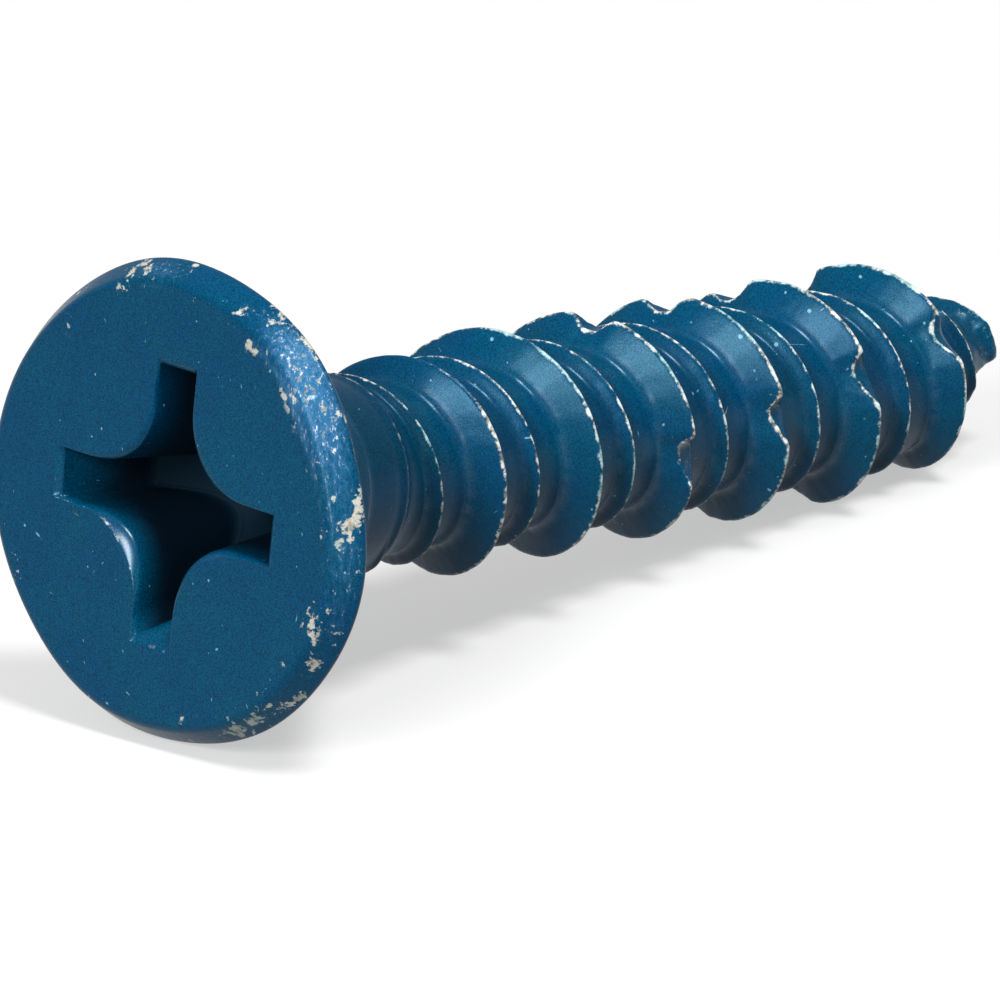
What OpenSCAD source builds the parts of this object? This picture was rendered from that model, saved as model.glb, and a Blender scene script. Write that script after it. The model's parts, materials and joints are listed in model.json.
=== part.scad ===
// Flat-head concrete screw anchor: one piece of steel, headed and thread-rolled.
// The screw is drawn along +X from the middle of its face, then laid on its rim and last full crest.

/* [Head] */
// Largest diameter of the head, at its rim
head_d = 12.25; // [11:0.05:14]
// Width of the bevel between the face and the rim
bevel_w = 0.66; // [0.2:0.02:1.2]
// Height of the bevel, from the face to the rim
bevel_h = 0.7; // [0.3:0.05:1.2]
// Included angle of the countersink under the rim
sink_angle = 82; // [78:1:100]

/* [Drive recess] */
// Width of the cross recess from wing end to wing end, at the face
recess_span = 7.15; // [6:0.05:8]
// Width of a wing at its end
wing_w = 1.22; // [0.9:0.02:1.6]
// Radius of the rounded lobes between the wings
lobe_r = 1.9; // [1:0.05:2.5]
// Depth of the recess at its middle
recess_depth = 4.4; // [3:0.05:4.8]
// Draft of the wing ends from the screw's axis
wing_draft = 13.25; // [5:0.25:20]
// Slope of the recess floor from the plane of the face
floor_slope = 28; // [15:1:35]
// Turn of the cross about the screw's axis
recess_turn = 2.6; // [0:0.1:45]

/* [Shank] */
// Length from the face to the end of the tip
length = 31.75; // [25:0.05:60]
// Diameter of the plain neck under the head
neck_d = 5.1; // [4.6:0.05:5.6]
// Length of the plain neck past the countersink
neck_l = 0.95; // [0.5:0.05:3]
// Diameter of the core between the threads
core_d = 4.35; // [3.8:0.05:4.8]
// Length over which the neck falls to the core
core_run = 1.9; // [0.5:0.1:4]

/* [Thread] */
// Axial advance in one turn, with one high and one low crest
lead = 3.75; // [3:0.05:5]
// Axial place at which the high helix would cross the +Y side of the face
helix_shift = 0.13; // [0:0.01:1]
// Diameter over the high crest
high_d = 6.14; // [5.8:0.02:7]
// Diameter over the low crest
low_d = 5.08; // [4.8:0.02:5.6]
// Slope of the high flanks from a plane across the axis
high_flank = 30; // [20:1:35]
// Slope of the low flanks from a plane across the axis
low_flank = 46; // [25:1:50]
// Length past the neck at which the high crest starts to grow
high_start = 1.9; // [0:0.1:4]
// Length over which the high crest grows to its full height
high_run = 1.7; // [0.5:0.1:6]
// Share of the flank height at which the hollow flanks bend
flank_bend = 0.42; // [0.3:0.02:0.5]

/* [Notches] */
// Turn of the high helix at which the first notch starts
notch_first = 4.213; // [2:0.001:6]
// Turn of the high helix after which no notch starts
notch_last = 7.55; // [3:0.001:20]
// Angle along the helix after which the notches repeat
notch_repeat = 346.7; // [240:0.1:480]
// Angles of the notches within one repeat
notch_places = [0, 97, 210]; // [0:1:360]
// Depth of a notch below the high crest
notch_depth = 0.46; // [0.1:0.02:0.8]
// Angle over which the crest falls into a notch
notch_fall = 16; // [6:1:30]
// Angle over which a notch rises to the crest again
notch_rise = 12; // [6:1:30]

/* [Tip] */
// Diameter of the core at the end of the tip
tip_d = 2.0; // [1.6:0.1:3.4]
// Length over which core and crests shrink towards the tip
tip_l = 3.75; // [1:0.05:6]

/* [Hidden] */
$fn = 96;

rim_r = head_d / 2;
face_r = rim_r - bevel_w;
neck_r = neck_d / 2;
core_r = core_d / 2;
high_r = high_d / 2;
low_r = low_d / 2;
sink_end = bevel_h + (rim_r - neck_r) / tan(sink_angle / 2);
neck_end = sink_end + neck_l;

// The thread is a helical strip, one lead wide, that closes on itself one turn later.
steps = 54; // stations in a turn
bury = 0.9; // depth of the shank's flat start inside the countersink
shank_start = sink_end - bury;
hub_share = 0.1; // radius left at the middle of the strip's flat ends, as a share
hub_off = hub_share / 2; // how far the hub of a flat end lies off the axis, as a share of its radius
first_step = floor((shank_start - lead / 2 - helix_shift) / lead * steps);
last_step = ceil((length + lead / 2 - helix_shift) / lead * steps);
rows = last_step - first_step;

high_base = (high_r - core_r) * tan(high_flank);
low_base = (low_r - core_r) * tan(low_flank);
bend_out = high_base * flank_bend;

// Points across the strip: [offset from the high crest, share of the high crest, share of the low crest]
section = [
    [-lead / 2, 0, 1],
    [-lead / 2 + low_base, 0, 0],
    [-high_base, 0, 0],
    [-bend_out, flank_bend, 0],
    [0, 1, 0],
    [bend_out, flank_bend, 0],
    [high_base, 0, 0],
    [lead / 2 - low_base, 0, 0]
];
across = len(section);

over = 0.2; // how far the recess tool reaches out of the face
draft_share = tan(wing_draft) / (recess_span / 2); // share of the recess's size lost in 1 mm of depth
mouth_share = 1 + over * draft_share;
foot_share = 1 - recess_depth * draft_share;
lobe_steps = 8; // sides of the arc of a lobe
lobe_hub = wing_w / 2 + lobe_r;

function clamp01(t) = min(1, max(0, t));
function ease(t) = let (c = clamp01(t)) c * c * (3 - 2 * c);
function mix(a, b, t) = a + (b - a) * t;

// Axial place of the high crest after a number of turns
function crest_x(turn) = helix_shift + lead * turn;

// How much the shank has shrunk at a place along it
function tip_share(x) = mix(1, tip_d / core_d, clamp01((x - (length - tip_l)) / tip_l));

function core_at(x) = mix(neck_r, core_r, ease((x - neck_end) / core_run)) * tip_share(x);
function low_at(x) = mix(neck_r, low_r, ease((x - neck_end) / core_run)) * tip_share(x);

// Depth share of one notch: nothing at the crest, one where it is deepest
function notch_form(past) =
    past < notch_fall ? clamp01(past / notch_fall)
    : clamp01(1 - (past - notch_fall) / notch_rise);

function notch_share(turn) =
    let (
        along = (turn - notch_first) * 360,
        past = along - notch_repeat * floor(along / notch_repeat)
    )
    along < 0 ? 0
    : max([
        for (place = notch_places)
        turn - (past - place) / 360 > notch_last ? 0 : notch_form(past - place)
    ]);

function high_at(x, turn) =
    let (grown = ease((x - neck_end - high_start) / high_run))
    (mix(neck_r, high_r, grown) - notch_depth * notch_share(turn) * grown) * tip_share(x);

function radius_at(x, turn, p) =
    let (core = core_at(x))
    core + p[1] * (high_at(x, turn) - core) + p[2] * (low_at(x) - core);

// Radius left at a place that lies past an end of the shank, where the strip winds in over a flat end
function wound_in(r, past) = r * mix(1, hub_share, clamp01(past / lead));

function ring_point(x, r, turn) = [x, r * cos(360 * turn), r * sin(360 * turn)];

function strip_point(step, p) =
    let (
        turn = step / steps,
        x = crest_x(turn) + p[0]
    )
    x < shank_start ? ring_point(shank_start, wound_in(neck_r, shank_start - x), turn)
    : x > length ? ring_point(length, wound_in(tip_d / 2, x - length), turn)
    : ring_point(x, radius_at(x, turn, p), turn);

// Number of the point at a row and a place across, where the far edge is the near edge a turn later
function at(row, i) = i < across ? row * across + i : (row + steps) * across;

// The tilt at which the head's rim and the lowest crest touch one floor
rest_slope = min([
    for (step = [first_step : last_step])
    let (turn = step / steps, x = crest_x(turn))
    if (x > neck_end && x < length)
    (rim_r + high_at(x, turn) * sin(360 * turn)) / (x - bevel_h)
]);
rest_tilt = atan(rest_slope);
rest_z = bevel_h * sin(rest_tilt) + rim_r * cos(rest_tilt);
face_x = -face_r * sin(rest_tilt);
tip_x = length * cos(rest_tilt) + tip_d / 2 * sin(rest_tilt);
rest_x = -(face_x + tip_x) / 2;

// Flat face, bevel and countersink, turned about the axis
module head() {
    rotate([0, 90, 0]) rotate_extrude() polygon([
        [0, 0],
        [face_r, 0],
        [rim_r, bevel_h],
        [0, bevel_h + rim_r / tan(sink_angle / 2)]
    ]);
}

// Neck, core and both threads, rolled out of one blank
module threaded_shank() {
    first_turn = first_step / steps;
    last_turn = last_step / steps;
    points = concat(
        [for (row = [0 : rows + steps], p = section) strip_point(first_step + row, p)],
        [
            ring_point(shank_start, hub_off * neck_r, first_turn - 0.25),
            ring_point(length, hub_off * tip_d / 2, last_turn + 0.25)
        ]
    );
    start_hub = len(points) - 2;
    tip_hub = len(points) - 1;
    skin = [
        for (row = [0 : rows - 1], i = [0 : across - 1])
        each [
            [at(row, i), at(row, i + 1), at(row + 1, i + 1)],
            [at(row, i), at(row + 1, i + 1), at(row + 1, i)]
        ]
    ];
    start_cap = concat(
        [for (row = [0 : steps - 1]) [start_hub, at(row, 0), at(row + 1, 0)]],
        [for (i = [0 : across - 1]) [start_hub, at(0, i + 1), at(0, i)]]
    );
    tip_cap = concat(
        [for (row = [rows : rows + steps - 1]) [tip_hub, at(row + 1, 0), at(row, 0)]],
        [for (i = [0 : across - 1]) [tip_hub, at(rows, i), at(rows, i + 1)]]
    );
    polyhedron(points, concat(skin, start_cap, tip_cap), convexity = 10);
}

// Quarter of the cross: one wing's end, then the arc of the lobe beside it
recess_quarter = concat(
    [[recess_span / 2, -wing_w / 2], [recess_span / 2, wing_w / 2]],
    [
        for (i = [0 : lobe_steps])
        let (a = 270 - 90 * i / lobe_steps)
        [lobe_hub + lobe_r * cos(a), lobe_hub + lobe_r * sin(a)]
    ]
);

module recess_outline() {
    polygon([
        for (q = [0 : 90 : 270], p = recess_quarter)
        [p[0] * cos(q) - p[1] * sin(q), p[0] * sin(q) + p[1] * cos(q)]
    ]);
}

// Tapered cross over a floor that slopes to the middle
module drive_recess() {
    rotate([0, 90, 0]) rotate(recess_turn) intersection() {
        translate([0, 0, -over])
            linear_extrude(height = recess_depth + over, scale = foot_share / mouth_share)
            scale(mouth_share) recess_outline();
        rotate_extrude() polygon([
            [0, -2 * over],
            [recess_span, -2 * over],
            [recess_span, recess_depth - recess_span * tan(floor_slope)],
            [0, recess_depth]
        ]);
    }
}

module screw() {
    color("#0b4f7d")
    translate([rest_x, 0, rest_z]) rotate([0, rest_tilt, 0]) difference() {
        union() {
            head();
            threaded_shank();
        }
        drive_recess();
    }
}

screw();
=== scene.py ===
"""Looks of a worn, blue-coated flat-head concrete screw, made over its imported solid."""

import json
import math

import bmesh
import bpy
import numpy as np
from mathutils import Matrix, Vector, noise


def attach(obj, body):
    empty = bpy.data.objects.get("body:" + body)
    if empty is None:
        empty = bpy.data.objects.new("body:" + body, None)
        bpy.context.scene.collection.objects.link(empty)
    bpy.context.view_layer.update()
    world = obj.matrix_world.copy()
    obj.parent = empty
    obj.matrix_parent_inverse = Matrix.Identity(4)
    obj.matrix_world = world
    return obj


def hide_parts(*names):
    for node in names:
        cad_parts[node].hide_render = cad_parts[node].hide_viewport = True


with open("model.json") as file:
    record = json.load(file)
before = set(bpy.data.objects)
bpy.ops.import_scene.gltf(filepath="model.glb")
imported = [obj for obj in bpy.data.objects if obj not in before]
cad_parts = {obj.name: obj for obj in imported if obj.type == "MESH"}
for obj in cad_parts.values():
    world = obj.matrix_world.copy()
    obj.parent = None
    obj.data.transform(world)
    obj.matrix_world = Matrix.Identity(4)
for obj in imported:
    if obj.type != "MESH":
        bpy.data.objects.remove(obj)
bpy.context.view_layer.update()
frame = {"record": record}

MM = 0.001

# Head, in millimetres
RIM_R = 6.125
BEVEL_W = 0.5
BEVEL_LEAN = 0.18
BEVEL_WIDE_AT = 165
BEVEL_WIDE_REACH = 80
BEVEL_H = 0.7
SINK_ANGLE = 82
FACE_ROUND = 0.3
RIM_ROUND = 0.16
NECK_ROUND = 0.5
# Flat stretch of the face before the bevel, and spare neck past the head, which give the roundings room
FACE_RUN = 1.0
NECK_SPARE = 0.4
# The rim is not quite round: order, size and place in degrees of each swell
RIM_SWELLS = (
    (1, 0.018, -20), (2, 0.025, 36), (3, 0.023, -22), (4, 0.025, 16),
    (5, 0.021, -5), (6, 0.020, 8), (7, 0.023, -19),
)
# Length over which the swells fade behind the rim
SWELL_REACH = 1.2
# Wear of the rim: its middle and width, as shares of the bevel's height, and its reach onto the face
RIM_WORN_AT = 0.4
RIM_WORN_WIDTH = 0.75
RIM_FACE_REACH = 0.1
# Rubbed stretches of the bevel: place and width in degrees, and strength
SCUFFS = ((138, 27, 1.0), (188, 30, 0.55), (82, 11, 0.6), (235, 22, 0.4), (40, 25, 0.3))

# Drive recess
RECESS_SPAN = 7.15
WING_W = 1.3
LOBE_R = 1.9
RECESS_DEPTH = 4.4
WING_DRAFT = 13.25
FLOOR_SLOPE = 28
RECESS_TURN = 2.6
LIP = 0.14
LIP_SLOPE = 0.84
# Stretches of the lip worn wide by the driver: place and width in degrees, and added width
WORN_LIPS = ((318, 33, 0.17), (206, 10, 0.12))
# Shelf left in the end of one wing: from its narrow corner to its wide one, and its width there, with
# the share of that way at which it stops
SHELF = (283, 262, 0.85)
SHELF_STOP = 1.05
# Section of the lip: shares of its width and of its depth, and how worn it is there
LIP_STEPS = (
    (0.06, 0.84, 0.3), (0.25, 0.6, 0.5), (0.5, 0.38, 0.7),
    (0.75, 0.17, 0.9), (0.92, 0.05, 1), (1, 0, 1),
)
# Place and width in degrees where the edges of the recess are most worn, and the wear elsewhere
EDGE_WORN_AT = 320
EDGE_WORN_WIDTH = 50
EDGE_WEAR_LEAST = 0.76
# Reach of that wear onto the face, as a share of its width, its strength on the walls, and the strength
# of the painted glints down the corners
EDGE_FACE_REACH = 0.08
WALL_WEAR = 0.25
CORNER_GLINT = 0.8
# Painted shade in the recess: the depth at which it starts and the run to its full strength
SHADE_START = 0.15
SHADE_RUN = 0.9
# Place and width in degrees of the wing whose wall has the least painted shade, and what it adds to
# that start and run
LIGHTER_WING = 2.6
LIGHTER_WIDTH = 14
LIGHTER_START = 0.35
LIGHTER_RUN = 0.7
# Rings of points: shares of the way across the recess floor and the face, their number on the wall, and
# the longest step between them on the cone
FLOOR_RINGS = (0.1, 0.25, 0.4, 0.55, 0.7, 0.85, 0.97)
FACE_RINGS = (0.04, 0.1, 0.2, 0.34, 0.5, 0.66, 0.8, 0.9, 0.96)
WALL_RINGS = 10
RING_STEP = 0.2

# Shank and thread
LENGTH = 31.75
NECK_R = 2.55
NECK_L = 0.95
LEAD = 3.75
HELIX_SHIFT = 0.13
# Neck that the head's mesh takes in, and the painted shade under the head with the run over which it
# fades
HEAD_PAST_SINK = 0.25
NECK_SHADE = 0.25
NECK_SHADE_RUN = 3.0
# Points in a turn, and across one lead
STEPS = 168
ACROSS = 60
# How far the points across are drawn towards the crests
CROWDING = 0.25

SINK_END = BEVEL_H + (RIM_R - NECK_R) / math.tan(math.radians(SINK_ANGLE / 2))
NECK_END = SINK_END + NECK_L
SHANK_START = SINK_END + HEAD_PAST_SINK
FIRST_STEP = math.floor((SHANK_START - LEAD / 2 - HELIX_SHIFT) / LEAD * STEPS)
LAST_STEP = math.ceil((LENGTH + LEAD / 2 - HELIX_SHIFT) / LEAD * STEPS)

# Named sizes of the thread's node tree, in millimetres, turns and degrees
THREAD = {
    "Steps per Turn": STEPS,
    "Points Across": ACROSS,
    "Rows": LAST_STEP - FIRST_STEP,
    "First Turn": FIRST_STEP / STEPS,
    "Lead": LEAD,
    "Helix Shift": HELIX_SHIFT,
    "Shank Start": SHANK_START,
    "Length": LENGTH,
    "Neck Radius": NECK_R,
    "Neck End": NECK_END,
    "Core Radius": 2.21,
    "Core Run": 1.9,
    "High Radius": 3.08,
    "High Start": 1.9,
    "High Run": 1.7,
    "High Flank": 31.0,
    "Low Radius": 2.56,
    "Low Flank": 36.0,
    "Crest Round": 0.03,
    "High Fray": 0.06,
    "Low Fray": 0.05,
    "High Fillet": 0.28,
    "Low Fillet": 0.16,
    "First Notch": 4.213,
    "Last Notch": 7.55,
    "Notch Repeat": 346.7,
    "Notch Depth": 0.46,
    "Notch Jag": 9.0,
    "Notch Round": 0.05,
    "Flank Step": 0.36,
    "Tip Length": 3.75,
    "Tip Share": 0.46,
    "Tip Step": 1.3,
    "Tip Step Middle": 118.6,
    "Tip Step From": 46.0,
    "Tip Step To": 76.0,
    "Tip Tear": 0.4,
    "Tip Tear Start": 0.6,
    "Blunt Length": 0.35,
    "Blunt Share": 0.12,
    "Ridge Place": 6.3,
    "Ridge Height": 0.1,
    "Ridge Width": 0.16,
    "Sway": 0.06,
    "Seed": 7.0,
    "Crest Half Width": 0.1,
    "High Line Width": 0.11,
    "Low Line Width": 0.085,
    "Root Line Width": 0.06,
    "Tip Wear Start": 2.6,
    "Tip Wear Full": 0.6,
}
WHOLE_SIZES = ("Steps per Turn", "Points Across", "Rows")
# Notch families: place in a repeat, degrees of its fall, its floor and its rise, and the shares of its
# depth and of the painted glint down its ledge
NOTCHES = ((0, 15, 2, 13, 0.95, 0.3), (94, 12, 5, 18, 1.0, 0.75), (210, 16, 2, 12, 0.45, 0.2))
# Place of that painted glint, as a share of the fall, and its width in degrees
LEDGE_AT = 0.3
LEDGE_WIDTH = 2.0
# Noise along the thread: radius on which it is read, and its scales
SKIN_R = 3.0
SWAY_SCALE = 0.5
JAG_SCALE = 1.6
FRAY_SCALE = 2.6
TEAR_SCALE = 0.9
# How strongly each kind of edge is worn next to a high crest, and how bright the painted glint on a
# ledge is
LOW_WEAR = 0.94
RIDGE_WEAR = 0.8
LEDGE_GLINT = 0.95
TIP_WEAR = 0.69
# Crests are painted a little paler towards their lit side, as painted light: its direction, the middle
# strength and the swing
LIT_SIDE = (-0.6, 0.8)
SIDE_MIDDLE = 0.97
SIDE_SWING = 0.07
# Loss of the bright line past a high crest, towards the tip
FAR_LOSS = 0.45
# Gloss of a low root, next to a high one
LOW_POLISH = 0.6
# Uneven middle of the tip's end: shares of its rings, scale of its dents and their depth
TIP_RINGS = (0.86, 0.62, 0.36, 0.14)
DENT_SCALE = 1.6
DENT_DEPTH = 0.12
HEAD_MARKS = ("edge", "rim", "scuff", "deep", "polish")
WELD = 0.002 * MM

# Colours of the coating, 0 to 255
BLUE = (0, 66, 102)
GREENER_BLUE = (0, 71, 99)
GRAIN_BLUE = (0, 43, 68)
SHADE_COLOUR = (0, 8, 20)
RUBBED = (52, 108, 152)
SPECK = (126, 172, 190)
WORN_BROWN = (132, 126, 102)
WORN_WHITE = (214, 218, 214)
WORN_CYAN = (110, 180, 190)
CHIP = (150, 143, 124)
# Its gloss: level and tint, roughness bare and added by wear, grain and painted shade, and the clear
# coat's
GLOSS = 0.2
GLOSS_TINT = (0.36, 0.74, 1, 1)
ROUGHNESS = 0.25
WORN_ROUGHNESS = 0.15
GRAIN_ROUGHNESS = 0.06
SHADE_ROUGHNESS = 0.4
COAT_ROUGHNESS = 0.2
POLISH_COAT = 0.45
STREAK_COAT = 0.7
# Its relief, with the depth in millimetres
RELIEF = 0.35
RELIEF_DEPTH = 0.02
# Its patterns: scale in a millimetre, detail and roughness
PATTERNS = {
    "grain": (24.0, 1.0, 0.6),
    "peel": (2.4, 3.0, 0.5),
    "cloud": (0.55, 3.0, 0.5),
    "patch": (1.3, 4.0, 0.6),
    "beads": (4.2, 4.0, 0.7),
    "streak": (9.0, 4.0, 0.75),
}
STREAK_STRETCH = (1, 1, 0.35)
# Dots and scratches: cells in a millimetre, spread and least of their size, and how frayed they are
SPECKS = (2.3, 0.3, 0.22, -0.3)
STROKES = (3.6, 0.5, 0.38, 0.4)
STROKE_STRETCH = (1, 1, 0.16)
STROKE_TURN = 25
DRIFT_SCALE = 0.3
DRIFT = (9, 9, 9)

# Studio: light of the world, and the floor's grey to bounced light and its grey and glow to the eye
WORLD_LIGHT = 0.43
FLOOR_SIZE = 6.0
FLOOR_BOUNCE = 0.04
FLOOR_GREY = 0.34
FLOOR_GLOW = 0.48
# Softboxes: direction, the way their long side points, width and height in metres, and watts
LAMP_FAR = 0.5
KEY_TALL = (0.1, 0.26, 0.23)
SOFTBOXES = {
    "key_softbox": ((-0.812, -0.25, 0.5), KEY_TALL, (0.07, 0.2), 2.0),
    "low_softbox": ((-0.87, -0.45, 0.2), KEY_TALL, (0.07, 0.15), 0.6),
    "top_softbox": ((-0.05, -0.38, 0.92), (0, 1, 0), (0.12, 0.13), 2.3),
}

# Camera, in millimetres
LENS = 440.0
SENSOR = 36.0
CAMERA_SPOT = (-226.565, -195.919, 100.799)
CAMERA_FORWARD = (0.714776, 0.625818, -0.312166)
CAMERA_RIGHT = (0.655722, -0.754907, -0.011983)


class Field:
    """A number at every point of a node tree, so that a formula reads as arithmetic."""

    def __init__(self, sheet, socket):
        self.sheet = sheet
        self.socket = socket

    def __add__(self, other):
        return self.sheet.math("ADD", self, other)

    def __sub__(self, other):
        return self.sheet.math("SUBTRACT", self, other)

    def __rsub__(self, other):
        return self.sheet.math("SUBTRACT", other, self)

    def __mul__(self, other):
        return self.sheet.math("MULTIPLY", self, other)

    def __truediv__(self, other):
        return self.sheet.math("DIVIDE", self, other)

    __radd__ = __add__
    __rmul__ = __mul__


class Sheet:
    """Writes formulas into a node tree."""

    def __init__(self, tree):
        self.tree = tree

    def node(self, kind, **settings):
        made = self.tree.nodes.new(kind)
        for name, value in settings.items():
            setattr(made, name, value)
        return made

    def feed(self, socket, value):
        if isinstance(value, Field):
            self.tree.links.new(value.socket, socket)
        elif isinstance(value, bpy.types.NodeSocket):
            self.tree.links.new(value, socket)
        else:
            socket.default_value = value

    def math(self, operation, *terms):
        made = self.node("ShaderNodeMath", operation=operation)
        for socket, term in zip(made.inputs, terms):
            self.feed(socket, term)
        return Field(self, made.outputs[0])

    def ramp(self, value, low, high, smooth=True):
        """Nothing below low, one above high."""
        kind = "SMOOTHSTEP" if smooth else "LINEAR"
        made = self.node("ShaderNodeMapRange", interpolation_type=kind)
        for socket, term in zip(made.inputs, (value, low, high)):
            self.feed(socket, term)
        return Field(self, made.outputs[0])

    def largest(self, *terms):
        best = terms[0]
        for term in terms[1:]:
            best = self.math("MAXIMUM", best, term)
        return best

    def mix(self, a, b, share):
        return (b - a) * share + a

    def bell(self, value, width):
        """One at nothing, falling off over a width."""
        t = value / width
        return self.math("EXPONENT", t * t * -1.0)

    def peak(self, value, width):
        """One at nothing, falling off over a width with a long foot."""
        t = value / width
        return self.math("DIVIDE", 1.0, t * t + 1.0)

    def vector(self, x, y, z):
        made = self.node("ShaderNodeCombineXYZ")
        for socket, term in zip(made.inputs, (x, y, z)):
            self.feed(socket, term)
        return made.outputs[0]

    def noise(self, place, scale, detail=2.0, roughness=0.5):
        made = self.node("ShaderNodeTexNoise")
        self.feed(made.inputs["Vector"], place)
        made.inputs["Scale"].default_value = scale
        made.inputs["Detail"].default_value = detail
        made.inputs["Roughness"].default_value = roughness
        return Field(self, made.outputs[0])

    def tint(self, share, a, b):
        """Colour a, with b laid over it by a share."""
        made = self.node("ShaderNodeMix", data_type="RGBA")
        self.feed(made.inputs[0], share)
        self.feed(made.inputs[6], a)
        self.feed(made.inputs[7], b)
        return made.outputs[2]


def screw_axes(record):
    """Matrix from the screw's own frame, with +X from face to tip, to the row frame."""
    recess = next(m for m in record["mounts"] if m["name"] == "drive_recess")
    along = -Vector(recess["axis"])
    side = Vector((0, 1, 0))
    axes = Matrix((along, side, along.cross(side))).transposed().to_4x4()
    axes.translation = Vector(recess["pos_m"])
    return axes


def thread_tree():
    """The neck, the core and both threads as a strip wound round the axis, one lead wide."""
    tree = bpy.data.node_groups.new("rolled_thread", "GeometryNodeTree")
    sheet = Sheet(tree)
    for name, value in THREAD.items():
        kind = "NodeSocketInt" if name in WHOLE_SIZES else "NodeSocketFloat"
        socket = tree.interface.new_socket(name, in_out="INPUT", socket_type=kind)
        socket.default_value = value
    tree.interface.new_socket("Coating", in_out="INPUT", socket_type="NodeSocketMaterial")
    tree.interface.new_socket("Thread", in_out="OUTPUT", socket_type="NodeSocketGeometry")
    enter = sheet.node("NodeGroupInput")
    leave = sheet.node("NodeGroupOutput")
    size = {name: Field(sheet, enter.outputs[name]) for name in THREAD}
    lead = size["Lead"]
    shift = size["Helix Shift"]
    neck = size["Neck Radius"]

    grid = sheet.node("GeometryNodeMeshGrid")
    sheet.feed(grid.inputs["Size X"], size["Rows"])
    grid.inputs["Size Y"].default_value = 1.0
    sheet.feed(grid.inputs["Vertices X"], size["Rows"] + 1)
    sheet.feed(grid.inputs["Vertices Y"], size["Points Across"])

    # Where a point of the grid lies along the helix and across the strip
    spot = sheet.node("ShaderNodeSeparateXYZ")
    sheet.feed(spot.inputs[0], sheet.node("GeometryNodeInputPosition").outputs[0])
    row = Field(sheet, spot.outputs[0]) + size["Rows"] * 0.5
    share = Field(sheet, spot.outputs[1])
    turn = size["First Turn"] + row / size["Steps per Turn"]
    waves = 4 * math.pi
    across = lead * (share - sheet.math("SINE", share * waves) * (CROWDING / waves))
    angle = turn * (2 * math.pi)
    cos = sheet.math("COSINE", angle)
    sin = sheet.math("SINE", angle)

    # The tip is sheared off with a step, and only one side of it reaches the full length
    beside = sheet.math("WRAP", turn * 360.0 - size["Tip Step Middle"], 180.0, -180.0)
    beside = sheet.math("ABSOLUTE", beside)
    short = sheet.ramp(beside, size["Tip Step From"], size["Tip Step To"])
    end = size["Length"] - size["Tip Step"] * short
    x = sheet.math("MAXIMUM", shift + lead * turn + across, size["Shank Start"])
    x = sheet.math("MINIMUM", x, end)

    # Offset from the nearest high crest, which sways a little
    seed = size["Seed"]
    skin = sheet.vector(x + seed, cos * SKIN_R, sin * SKIN_R)
    sway = (sheet.noise(skin, SWAY_SCALE) - 0.5) * size["Sway"]
    half = lead * 0.5
    offset = sheet.math("WRAP", x - shift - lead * turn + sway, half, half * -1.0)
    crest_turn = (x + sway - offset - shift) / lead

    # Notches across the high crest
    along = (crest_turn - size["First Notch"]) * 360.0
    past = sheet.math("FLOORED_MODULO", along, size["Notch Repeat"])
    cuts = []
    ledges = []
    jag = (sheet.noise(skin, JAG_SCALE) - 0.5) * size["Notch Jag"]
    for place, fall, floor, rise, depth, shine in NOTCHES:
        into = past - float(place) + jag
        started = sheet.math("LESS_THAN", crest_turn - into / 360.0, size["Last Notch"])
        down = sheet.ramp(into, 0.0, fall)
        up = sheet.ramp(into, fall + floor, fall + floor + rise)
        cuts.append(started * down * (1.0 - up) * depth)
        ledges.append(started * sheet.bell(into - fall * LEDGE_AT, LEDGE_WIDTH) * shine)
    any_notch = sheet.math("GREATER_THAN", along, 0.0)
    notch = sheet.largest(*cuts) * any_notch
    ledge = sheet.largest(*ledges) * any_notch

    # Radii of core and crests along the shank
    run = sheet.ramp(x, size["Neck End"], size["Neck End"] + size["Core Run"])
    high_from = size["Neck End"] + size["High Start"]
    crest_x = shift + lead * crest_turn
    grown = sheet.ramp(crest_x, high_from, high_from + size["High Run"])
    core = sheet.mix(neck, size["Core Radius"], run)
    beads = sheet.noise(skin, FRAY_SCALE, 3.0)
    fray = beads - 0.5
    high = sheet.mix(neck, size["High Radius"], grown) + fray * grown * size["High Fray"]
    low = sheet.mix(neck, size["Low Radius"], run) + fray * run * size["Low Fray"]
    tip_from = size["Length"] - size["Tip Length"]
    tipness = sheet.ramp(x, tip_from, size["Length"], smooth=False)

    # The section: two flanked crests that run into the core by fillets
    bend = size["Crest Round"]
    near_high = sheet.math("SQRT", offset * offset + bend * bend) - bend
    past_high = half - sheet.math("ABSOLUTE", offset)
    near_low = sheet.math("SQRT", past_high * past_high + bend * bend) - bend
    high_steep = sheet.math("TANGENT", sheet.math("RADIANS", 90.0 - size["High Flank"]))
    low_steep = sheet.math("TANGENT", sheet.math("RADIANS", 90.0 - size["Low Flank"]))
    cut = size["Notch Depth"] * notch * grown
    crest_half = size["Crest Half Width"]
    head_side = 1.0 - sheet.ramp(offset, crest_half * -1.0, crest_half)
    step = cut * size["Flank Step"] * head_side
    high_side = high - near_high * high_steep - step
    high_side = sheet.math("SMOOTH_MIN", high_side, high - cut, size["Notch Round"])
    low_side = low - near_low * low_steep
    high_fillet = size["High Fillet"] * run
    low_fillet = size["Low Fillet"] * run
    radius = sheet.math("SMOOTH_MAX", core, high_side, high_fillet)
    radius = sheet.math("SMOOTH_MAX", radius, low_side, low_fillet)
    tearing = sheet.ramp(x, tip_from + size["Tip Tear Start"], size["Length"])
    torn = (sheet.noise(skin, TEAR_SCALE, 1.0) - 0.5) * tearing
    radius = radius + torn * size["Tip Tear"]
    ridge = sheet.bell(x - size["Ridge Place"], size["Ridge Width"])
    radius = radius + ridge * size["Ridge Height"]
    blunt = sheet.ramp(x, end - size["Blunt Length"], end, smooth=False)
    blunted = 1.0 - blunt * blunt * size["Blunt Share"]
    radius = radius * sheet.mix(1.0, size["Tip Share"], tipness) * blunted
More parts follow.
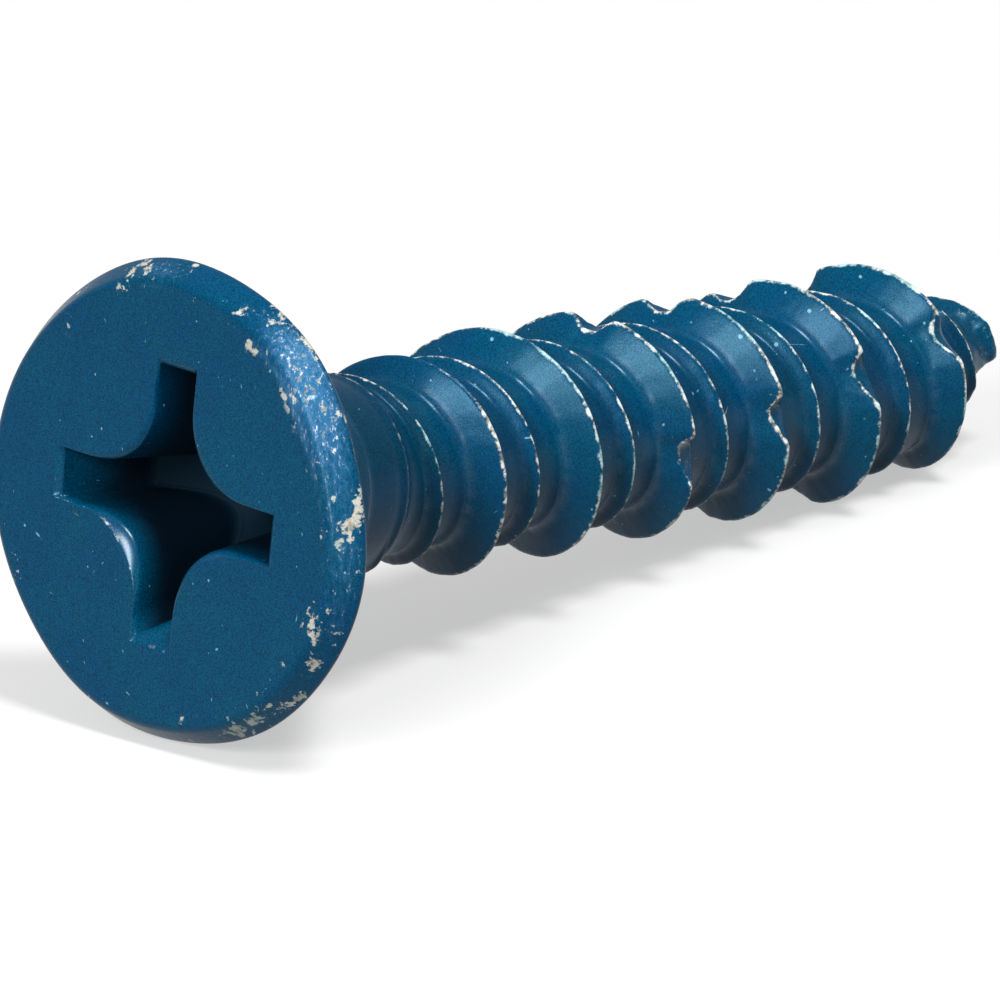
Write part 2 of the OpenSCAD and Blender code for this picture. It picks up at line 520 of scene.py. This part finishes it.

    # How pale a crest is: worn, painted paler towards its lit side, with painted glints down the notch
    # ledges; the shader breaks it up
    land = (cut - step) / high_steep
    faint = 1.0 - sheet.ramp(offset, 0.03, 0.08) * FAR_LOSS
    # Painted light: a little paler towards the lit side
    upper = (cos * LIT_SIDE[0] + sin * LIT_SIDE[1]) * SIDE_SWING + SIDE_MIDDLE
    from_edge = sheet.math("ABSOLUTE", offset) - land
    high_line = sheet.peak(from_edge, size["High Line Width"]) * grown * faint * upper
    low_line = sheet.peak(past_high, size["Low Line Width"]) * sheet.ramp(run, 0.05, 0.3)
    low_line = low_line * upper * LOW_WEAR
    worn_from = size["Length"] - size["Tip Wear Start"]
    worn_full = size["Length"] - size["Tip Wear Full"]
    tip_wear = sheet.ramp(x, worn_from, worn_full) * upper * TIP_WEAR
    flank = sheet.ramp(offset, -0.75, -0.45) * (1.0 - sheet.ramp(offset, -0.05, 0.1))
    # Painted glint down each notch's ledge
    glint = ledge * flank * grown * (1.0 - sheet.ramp(tipness, 0.0, 0.1)) * LEDGE_GLINT
    crest = sheet.largest(high_line, low_line, ridge * RIDGE_WEAR, glint, tip_wear)

    # The dies leave both roots smoother than the flanks
    root = size["Root Line Width"]
    high_root = sheet.bell(offset + (high - core) / high_steep, root) * grown
    low_root = sheet.bell(half - offset - (low - core) / low_steep, root) * run
    polish = sheet.largest(high_root, low_root * LOW_POLISH) * sheet.ramp(beads, 0.3, 0.6)

    strip = grid.outputs["Mesh"]
    for name, value in (("crest", crest), ("polish", polish)):
        mark = sheet.node("GeometryNodeStoreNamedAttribute", data_type="FLOAT", domain="POINT")
        mark.inputs["Name"].default_value = name
        sheet.feed(mark.inputs["Geometry"], strip)
        sheet.feed(mark.inputs["Value"], value)
        strip = mark.outputs[0]
    wind = sheet.node("GeometryNodeSetPosition")
    sheet.feed(wind.inputs["Geometry"], strip)
    place = sheet.vector(x * MM, radius * cos * MM, radius * sin * MM)
    sheet.feed(wind.inputs["Position"], place)
    weld = sheet.node("GeometryNodeMergeByDistance")
    sheet.feed(weld.inputs["Geometry"], wind.outputs[0])
    weld.inputs["Distance"].default_value = WELD
    real = sheet.node("GeometryNodeRealizeInstances")
    sheet.feed(real.inputs[0], weld.outputs[0])
    coat = sheet.node("GeometryNodeSetMaterial")
    sheet.feed(coat.inputs["Geometry"], real.outputs[0])
    sheet.feed(coat.inputs["Material"], enter.outputs["Coating"])
    sheet.feed(leave.inputs[0], coat.outputs[0])
    return tree


def thread_mesh(coating):
    """The thread as a plain mesh in the screw's own frame, open at the neck and the tip."""
    tree = thread_tree()
    holder = bpy.data.objects.new("thread_form", bpy.data.meshes.new("thread_form"))
    bpy.context.scene.collection.objects.link(holder)
    form = holder.modifiers.new("rolled_thread", "NODES")
    form.node_group = tree
    values = dict(THREAD, Coating=coating)
    for item in tree.interface.items_tree:
        if item.in_out == "INPUT":
            form[item.identifier] = values[item.name]
    seen = holder.evaluated_get(bpy.context.evaluated_depsgraph_get())
    mesh = bpy.data.meshes.new_from_object(seen)
    holder.modifiers.clear()
    bpy.data.objects.remove(holder)
    return mesh


def rounded(corners, radii, points=6):
    """A bent line through corners, each rounded by its radius. The ends stay as they are."""
    line = [np.array(corners[0], float)]
    for before, corner, after, radius in zip(corners, corners[1:], corners[2:], radii):
        corner = np.array(corner, float)
        back = np.array(before) - corner
        ahead = np.array(after) - corner
        back = back / np.linalg.norm(back)
        ahead = ahead / np.linalg.norm(ahead)
        half = math.acos(np.clip(back @ ahead, -1, 1)) / 2
        reach = radius / math.tan(half)
        hub = corner + (back + ahead) / np.linalg.norm(back + ahead) * radius / math.sin(half)
        start = corner + back * reach - hub
        stop = corner + ahead * reach - hub
        for t in np.linspace(0, 1, points):
            spoke = start * (1 - t) + stop * t
            line.append(hub + spoke / np.linalg.norm(spoke) * radius)
    line.append(np.array(corners[-1], float))
    return np.array(line)


def stretched(line, longest):
    """The same bent line with points put in so that no step is longer than a length."""
    out = [line[0]]
    for a, b in zip(line, line[1:]):
        count = max(1, math.ceil(np.linalg.norm(b - a) / longest))
        out += [a + (b - a) * i / count for i in range(1, count + 1)]
    return np.array(out)


def recess_angles():
    """Angles of the head's columns at the recess, where a column runs through each corner."""
    eighth = STEPS // 8
    corner = math.degrees(math.atan2(WING_W, RECESS_SPAN))
    at_corner = round(corner / 360 * STEPS)
    bends = ((0, at_corner, eighth), (0, corner, 45))
    column = np.arange(STEPS)
    step = column % (2 * eighth)
    from_wing = np.interp(np.minimum(step, 2 * eighth - step), *bends)
    quarter = np.where(step <= eighth, from_wing, 90 - from_wing)
    turned = RECESS_TURN + 90 * (column // (2 * eighth)) + quarter
    return np.radians(turned), np.radians(from_wing)


def recess_radius(from_wing):
    """Radius of the cross at the face, by the angle from the nearest wing's middle."""
    cos = np.cos(from_wing)
    sin = np.sin(from_wing)
    hub = WING_W / 2 + LOBE_R
    end = RECESS_SPAN / 2 / cos
    side = WING_W / 2 / np.maximum(sin, 1e-6)
    reach = hub * (cos + sin)
    arc = reach - np.sqrt(np.maximum(reach ** 2 - 2 * hub ** 2 + LOBE_R ** 2, 0))
    cross = np.where(side * cos > hub, side, arc)
    return np.where(from_wing < math.atan2(WING_W, RECESS_SPAN) + 1e-6, end, cross)


def degrees_from(angle, place):
    """Degrees from a place round the axis, by the short way."""
    return (np.degrees(angle) - place + 180) % 360 - 180


def bell(value, width):
    """One at nothing, falling off over a width."""
    return np.exp(-(value / width) ** 2)


def head_rings():
    """Rings of points from the recess's middle to the neck, and the marks of each ring."""
    even = 2 * math.pi * np.arange(STEPS) / STEPS
    cross, from_wing = recess_angles()
    worn = sum(width * bell(degrees_from(cross, place), reach) for place, reach, width in WORN_LIPS)
    polish = np.clip(worn / WORN_LIPS[0][2], 0, 1)
    most_worn = bell(degrees_from(cross, EDGE_WORN_AT), EDGE_WORN_WIDTH)
    edge_wear = EDGE_WEAR_LEAST + (1 - EDGE_WEAR_LEAST) * most_worn
    narrow_end, wide_end, shelf_width = SHELF
    along = degrees_from(cross, narrow_end) / (wide_end - narrow_end)
    shelf = shelf_width * np.where((along > 0) & (along < SHELF_STOP), along, 0)
    lip = LIP + worn + shelf
    mouth = recess_radius(from_wing) + (LIP + worn) / 2 - lip
    draft = math.tan(math.radians(WING_DRAFT)) / (RECESS_SPAN / 2)
    slope = math.tan(math.radians(FLOOR_SLOPE))
    foot = mouth * (1 - draft * RECESS_DEPTH) / (1 - mouth * draft * slope)
    foot_x = RECESS_DEPTH - foot * slope
    swell = sum(size * np.cos(order * (even - math.radians(place)))
                for order, size, place in RIM_SWELLS)
    scuff = sum(strength * bell(degrees_from(even, place), width)
                for place, width, strength in SCUFFS)
    rings = []

    def ring(x, radius, angle, **marks):
        x = np.broadcast_to(x, even.shape)
        points = np.stack([x, radius * np.cos(angle), radius * np.sin(angle)], -1)
        rings.append((points, marks))

    # The recess floor is darkened all over with painted shade
    for part in FLOOR_RINGS:
        ring(RECESS_DEPTH - foot * part * slope, foot * part, cross, deep=1.0)
    corner = np.isclose(from_wing, math.atan2(WING_W, RECESS_SPAN))
    lighter = bell(degrees_from(cross, LIGHTER_WING), LIGHTER_WIDTH)
    # Painted shade on the walls grows with depth, starting deeper in the lighter wing
    shade_start = SHADE_START + LIGHTER_START * lighter
    shade_run = SHADE_RUN + LIGHTER_RUN * lighter
    for part in np.linspace(0, 1, WALL_RINGS):
        x = foot_x + (lip - foot_x) * part
        deep = np.clip((x - shade_start) / shade_run, 0, 1)
        # Painted glints down the corners of the wings, near the mouth
        corner_glint = CORNER_GLINT * corner * np.clip(part * 2 - 0.8, 0, 1)
        edge = edge_wear * (WALL_WEAR * part ** 4 + corner_glint)
        ring(x, mouth * (1 - draft * (x - lip)), cross, edge=edge, deep=deep)
    for out, down, edge in LIP_STEPS:
        x = lip * down * LIP_SLOPE
        ring(x, mouth + lip * out, cross, edge=edge * edge_wear, polish=polish)

    inner = mouth + lip
    corners = (
        (RIM_R - BEVEL_W - FACE_RUN, 0),
        (RIM_R - BEVEL_W, 0),
        (RIM_R, BEVEL_H),
        (NECK_R, SINK_END),
        (NECK_R, SHANK_START + NECK_SPARE),
    )
    line = rounded(corners, (FACE_ROUND, RIM_ROUND, NECK_ROUND))
    line[-1][1] = SHANK_START
    wide = bell(degrees_from(even, BEVEL_WIDE_AT), BEVEL_WIDE_REACH)
    lean = BEVEL_LEAN * (wide - 0.5)
    outer = line[1][0] - lean + swell
    for part in FACE_RINGS:
        radius = inner + (outer - inner) * part
        rim = bell(part - 1, RIM_FACE_REACH)
        edge = edge_wear * max(0.0, 1 - part / EDGE_FACE_REACH)
        ring(0.0, radius, cross + (even - cross) * part, edge=edge, rim=rim, scuff=rim * scuff)
    for radius, x in stretched(line[1:], RING_STEP):
        rim = bell(x - BEVEL_H * RIM_WORN_AT, BEVEL_H * RIM_WORN_WIDTH)
        near_rim = bell(x - BEVEL_H, SWELL_REACH) if x > BEVEL_H else 1.0
        inset = lean * np.clip(1 - x / BEVEL_H, 0, 1)
        ring(x, radius + swell * near_rim - inset, even, rim=rim, scuff=rim * scuff)
    return rings


def head_mesh():
    """Points, faces and marks of the head, from the recess's middle to the neck."""
    rings = head_rings()
    points = [np.array([[RECESS_DEPTH, 0, 0]])] + [ring[0] for ring in rings]
    values = {}
    for name in HEAD_MARKS:
        columns = [np.broadcast_to(marks.get(name, 0.0), STEPS) for _, marks in rings]
        # The middle point of the recess is in full painted shade
        values[name] = np.concatenate([[1.0 if name == "deep" else 0.0]] + columns)
    following = np.roll(np.arange(STEPS), -1)
    faces = [(0, 1 + k, 1 + following[k]) for k in range(STEPS)]
    for i in range(len(rings) - 1):
        a = 1 + i * STEPS
        b = a + STEPS
        faces += [(a + k, b + k, b + following[k], a + following[k]) for k in range(STEPS)]
    return np.vstack(points) * MM, faces, values


def close_tip(form):
    """Closes the sheared end with rings that sink to an uneven middle."""
    open_edges = [e for e in form.edges if e.is_boundary]
    open_points = {v for e in open_edges for v in e.verts}
    loop = sorted(open_points, key=lambda v: math.atan2(v.co.z, v.co.y))
    middle_x = sum(v.co.x for v in loop) / len(loop)
    outer = loop
    for part in TIP_RINGS:
        inner = []
        for v in loop:
            x = middle_x + (v.co.x - middle_x) * part
            spot = Vector((x, v.co.y * part, v.co.z * part))
            x += noise.noise(spot / MM * DENT_SCALE) * DENT_DEPTH * MM
            inner.append(form.verts.new((x, spot.y, spot.z)))
        for k in range(len(loop)):
            n = (k + 1) % len(loop)
            form.faces.new((outer[k], outer[n], inner[n], inner[k]))
        outer = inner
    middle = form.verts.new((middle_x, 0, 0))
    for k in range(len(loop)):
        form.faces.new((outer[k], outer[(k + 1) % len(loop)], middle))


def make_screw(coating, axes):
    """The whole screw as one closed piece."""
    thread = thread_mesh(coating)
    count = len(thread.vertices)
    thread_points = np.empty(count * 3)
    thread.vertices.foreach_get("co", thread_points)
    crest = np.empty(count)
    thread.attributes["crest"].data.foreach_get("value", crest)
    polish = np.empty(count)
    thread.attributes["polish"].data.foreach_get("value", polish)
    head_points, head_faces, marks = head_mesh()
    head_count = len(head_points)
    faces = head_faces + [tuple(head_count + i for i in p.vertices) for p in thread.polygons]
    points = np.vstack([head_points, thread_points.reshape(-1, 3)])
    bpy.data.meshes.remove(thread)

    mesh = bpy.data.meshes.new("screw")
    mesh.from_pydata(points, [], faces)
    values = {name: np.concatenate([marks[name], np.zeros(count)]) for name in HEAD_MARKS}
    values["crest"] = np.concatenate([np.zeros(head_count), crest])
    from_head = points[head_count:, 0] / MM - SHANK_START
    # Painted shade under the head, fading along the neck
    values["deep"][head_count:] = NECK_SHADE * np.clip(1 - from_head / NECK_SHADE_RUN, 0, 1)
    values["polish"][head_count:] = polish
    for name, value in values.items():
        layer = mesh.attributes.new(name, "FLOAT", "POINT")
        layer.data.foreach_set("value", value.astype(np.float32))

    form = bmesh.new()
    form.from_mesh(mesh)
    bmesh.ops.remove_doubles(form, verts=form.verts, dist=WELD)
    close_tip(form)
    bmesh.ops.recalc_face_normals(form, faces=form.faces)
    for face in form.faces:
        face.smooth = True
    form.to_mesh(mesh)
    form.free()
    mesh.transform(axes)
    mesh.materials.append(coating)
    screw = bpy.data.objects.new("screw_body", mesh)
    bpy.context.scene.collection.objects.link(screw)
    return screw


def srgb(red, green, blue):
    """A colour as a picture shows it, 0 to 255, as the shader takes it."""
    def linear(c):
        c = c / 255
        return c / 12.92 if c <= 0.04045 else ((c + 0.055) / 1.055) ** 2.4
    return (linear(red), linear(green), linear(blue), 1.0)


def worn_blue_coating():
    """Semi-gloss blue coating, worn pale on crests, rim and recess edges, with painted glints and
    lit-side paling among that wear, and painted shade in the recess and under the head.
    """
    coating = bpy.data.materials.new("worn_blue_coating")
    coating.use_nodes = True
    tree = coating.node_tree
    shader = tree.nodes["Principled BSDF"]
    sheet = Sheet(tree)
    scaled = sheet.node("ShaderNodeVectorMath", operation="SCALE")
    sheet.feed(scaled.inputs[0], sheet.node("ShaderNodeTexCoord").outputs["Object"])
    scaled.inputs["Scale"].default_value = 1 / MM
    mm = scaled.outputs[0]

    def mark(name):
        made = sheet.node("ShaderNodeAttribute", attribute_name=name)
        return Field(sheet, made.outputs["Fac"])

    grain = sheet.noise(mm, *PATTERNS["grain"])
    peel = sheet.noise(mm, *PATTERNS["peel"])
    cloud = sheet.noise(mm, *PATTERNS["cloud"])
    patch = sheet.noise(mm, *PATTERNS["patch"])
    beads = sheet.noise(mm, *PATTERNS["beads"])

    # Rubbing runs round the bevel, so its streaks are drawn out that way
    drawn = sheet.node("ShaderNodeMapping")
    sheet.feed(drawn.inputs["Vector"], mm)
    drawn.inputs["Rotation"].default_value = (math.radians(-SCUFFS[0][0]), 0, 0)
    drawn.inputs["Scale"].default_value = STREAK_STRETCH
    streak = sheet.noise(drawn.outputs[0], *PATTERNS["streak"])

    # Wear by place, with painted light among it: crest lines, paler on their lit side and with painted
    # glints on the notch ledges, chips on the rim, rubbed bevel with painted glints, lip of the recess
    # with painted glints down its corners
    scuff = mark("scuff")
    crest = sheet.ramp(mark("crest") * (beads * 1.3 + patch * 0.9), 0.84, 1.12)
    edge = sheet.ramp(mark("edge") * (beads * 0.8 + patch * 0.7), 0.72, 0.95)
    chipped = sheet.ramp(scuff, 0.08, 0.35) * 0.07 - sheet.ramp(scuff, 0.5, 0.9) * 0.04
    chip = sheet.ramp(chipped + patch * 0.7 + beads * 0.4, 0.685, 0.735)
    chip = chip * sheet.ramp(mark("rim"), 0.2, 0.6)
    rubbed = sheet.ramp(scuff * (streak * 1.6 + patch * 0.4), 0.4, 1.0)
    # Pale flecks along the rubbed streaks: partly bare coating, partly painted glints
    bare_and_glints = sheet.ramp(scuff * 0.2 + streak, 0.72, 0.82) * sheet.ramp(scuff, 0.2, 0.6)
    deep = mark("deep")
    polish = mark("polish")

    def flecks(place, scale, spread, least, fray):
        """Above nothing inside the dot that a few cells of a coarse pattern hold."""
        cells = sheet.node("ShaderNodeTexVoronoi")
        sheet.feed(cells.inputs["Vector"], place)
        cells.inputs["Scale"].default_value = scale
        parts = sheet.node("ShaderNodeSeparateColor")
        sheet.feed(parts.inputs[0], cells.outputs["Color"])
        dot = Field(sheet, parts.outputs[0]) * spread - least
        return dot - Field(sheet, cells.outputs["Distance"]) + (beads - 0.5) * fray

    # Specks: small pale dots, more of them beside the crests
    near_crest = sheet.ramp(mark("crest"), 0.03, 0.2) * 0.06
    speck = sheet.ramp(flecks(mm, *SPECKS) + near_crest, -0.03, 0.02)

    # Strokes: the same, drawn out into short light scratches that drift
    drift = sheet.node("ShaderNodeTexNoise")
    sheet.feed(drift.inputs["Vector"], mm)
    drift.inputs["Scale"].default_value = DRIFT_SCALE
    drift.inputs["Detail"].default_value = 0.0
    pushed = sheet.node("ShaderNodeVectorMath", operation="MULTIPLY_ADD")
    sheet.feed(pushed.inputs[0], drift.outputs["Color"])
    pushed.inputs[1].default_value = DRIFT
    sheet.feed(pushed.inputs[2], mm)
    bent = sheet.node("ShaderNodeMapping")
    sheet.feed(bent.inputs["Vector"], pushed.outputs[0])
    bent.inputs["Rotation"].default_value = (math.radians(STROKE_TURN), 0, 0)
    bent.inputs["Scale"].default_value = STROKE_STRETCH
    stroke = sheet.ramp(flecks(bent.outputs[0], *STROKES), -0.04, 0.04)
    speck = sheet.largest(speck, stroke) * (1.0 - deep)

    # Colour: clouded and grained blue, painted shade, then what is rubbed, specked, worn or chipped,
    # with painted glints among the worn
    blue = sheet.tint(sheet.ramp(cloud, 0.35, 0.65), srgb(*BLUE), srgb(*GREENER_BLUE))
    blue = sheet.tint(sheet.ramp(grain, 0.36, 0.66) * 0.9, blue, srgb(*GRAIN_BLUE))
    # Painted shade: darker in the recess and under the head
    blue = sheet.tint(deep * 0.97, blue, srgb(*SHADE_COLOUR))
    pale = sheet.tint(sheet.ramp(beads, 0.42, 0.6), srgb(*WORN_BROWN), srgb(*WORN_WHITE))
    pale = sheet.tint(sheet.ramp(cloud, 0.5, 0.62) * 0.5, pale, srgb(*WORN_CYAN))
    colour = sheet.tint(rubbed * 0.7, blue, srgb(*RUBBED))
    colour = sheet.tint(speck * 0.7, colour, srgb(*SPECK))
    # Pale where worn, and where light is painted: the crests' lit side, the ledge and corner glints,
    # and the glints on the bevel
    worn = sheet.largest(crest, edge, chip, bare_and_glints)
    colour = sheet.tint(worn * 0.88, colour, pale)
    colour = sheet.tint(chip * 0.55, colour, srgb(*CHIP))
    sheet.feed(shader.inputs["Base Color"], colour)
    roughness = worn * WORN_ROUGHNESS + ROUGHNESS + grain * GRAIN_ROUGHNESS + deep * SHADE_ROUGHNESS
    sheet.feed(shader.inputs["Roughness"], roughness)
    shader.inputs["Specular IOR Level"].default_value = GLOSS
    shader.inputs["Specular Tint"].default_value = GLOSS_TINT
    # Polished lips and roots, and bright streaks on the rubbed bevel, have a clear gloss
    bright = sheet.ramp(streak, 0.45, 0.7) * sheet.ramp(scuff, 0.3, 0.8)
    coat = sheet.largest(polish * POLISH_COAT, bright * STREAK_COAT)
    sheet.feed(shader.inputs["Coat Weight"], coat)
    shader.inputs["Coat Roughness"].default_value = COAT_ROUGHNESS
    bump = sheet.node("ShaderNodeBump")
    bump.inputs["Strength"].default_value = RELIEF
    bump.inputs["Distance"].default_value = RELIEF_DEPTH * MM
    sheet.feed(bump.inputs["Height"], grain * 0.35 + peel + streak * scuff * 2.5 - chip)
    sheet.feed(shader.inputs["Normal"], bump.outputs[0])
    return coating


def studio():
    """White floor that keeps the shadow, two softboxes on the left and one overhead."""
    scene = bpy.context.scene
    scene.view_settings.view_transform = "Standard"
    world = bpy.data.worlds.new("studio")
    world.use_nodes = True
    world.node_tree.nodes["Background"].inputs["Color"].default_value = (1, 1, 1, 1)
    world.node_tree.nodes["Background"].inputs["Strength"].default_value = WORLD_LIGHT
    scene.world = world

    paper = bpy.data.materials.new("white_paper")
    paper.use_nodes = True
    sheet = Sheet(paper.node_tree)
    out = paper.node_tree.nodes["Material Output"]
    paper.node_tree.nodes.remove(paper.node_tree.nodes["Principled BSDF"])
    rays = sheet.node("ShaderNodeLightPath")
    seen = sheet.largest(
        Field(sheet, rays.outputs["Is Camera Ray"]),
        Field(sheet, rays.outputs["Is Glossy Ray"]),
        Field(sheet, rays.outputs["Is Transmission Ray"]),
    )
    dim = sheet.node("ShaderNodeBsdfDiffuse")
    dim.inputs["Color"].default_value = (FLOOR_BOUNCE, FLOOR_BOUNCE, FLOOR_BOUNCE, 1)
    lit = sheet.node("ShaderNodeBsdfDiffuse")
    lit.inputs["Color"].default_value = (FLOOR_GREY, FLOOR_GREY, FLOOR_GREY, 1)
    glow = sheet.node("ShaderNodeEmission")
    glow.inputs["Strength"].default_value = FLOOR_GLOW
    white = sheet.node("ShaderNodeAddShader")
    sheet.feed(white.inputs[0], lit.outputs[0])
    sheet.feed(white.inputs[1], glow.outputs[0])
    blend = sheet.node("ShaderNodeMixShader")
    sheet.feed(blend.inputs[0], seen)
    sheet.feed(blend.inputs[1], dim.outputs[0])
    sheet.feed(blend.inputs[2], white.outputs[0])
    sheet.feed(out.inputs["Surface"], blend.outputs[0])
    mesh = bpy.data.meshes.new("floor")
    r = FLOOR_SIZE / 2
    mesh.from_pydata([(-r, -r, 0), (r, -r, 0), (r, r, 0), (-r, r, 0)], [], [(0, 1, 2, 3)])
    mesh.materials.append(paper)
    floor = bpy.data.objects.new("floor", mesh)
    scene.collection.objects.link(floor)

    for name, (towards, tall, size, power) in SOFTBOXES.items():
        lamp = bpy.data.lights.new(name, "AREA")
        lamp.shape = "RECTANGLE"
        lamp.size, lamp.size_y = size
        lamp.energy = power
        made = bpy.data.objects.new(name, lamp)
        ahead = Vector(towards).normalized()
        side = Vector(tall).cross(ahead).normalized()
        turn = Matrix((side, ahead.cross(side), ahead)).transposed().to_4x4()
        made.matrix_world = Matrix.Translation(ahead * LAMP_FAR) @ turn
        scene.collection.objects.link(made)


def camera():
    """Camera at the photograph's angle, with a long lens."""
    spot = Vector(CAMERA_SPOT) * MM
    forward = Vector(CAMERA_FORWARD)
    right = Vector(CAMERA_RIGHT)
    up = right.cross(forward)
    data = bpy.data.cameras.new("camera")
    data.lens = LENS
    data.sensor_width = SENSOR
    data.clip_start = 0.01
    made = bpy.data.objects.new("camera", data)
    turn = Matrix((right, up, -forward)).transposed().to_4x4()
    made.matrix_world = Matrix.Translation(spot) @ turn
    bpy.context.scene.collection.objects.link(made)
    bpy.context.scene.camera = made


coating = worn_blue_coating()
screw = make_screw(coating, screw_axes(frame["record"]))
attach(screw, "root")
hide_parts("screw")
studio()
camera()
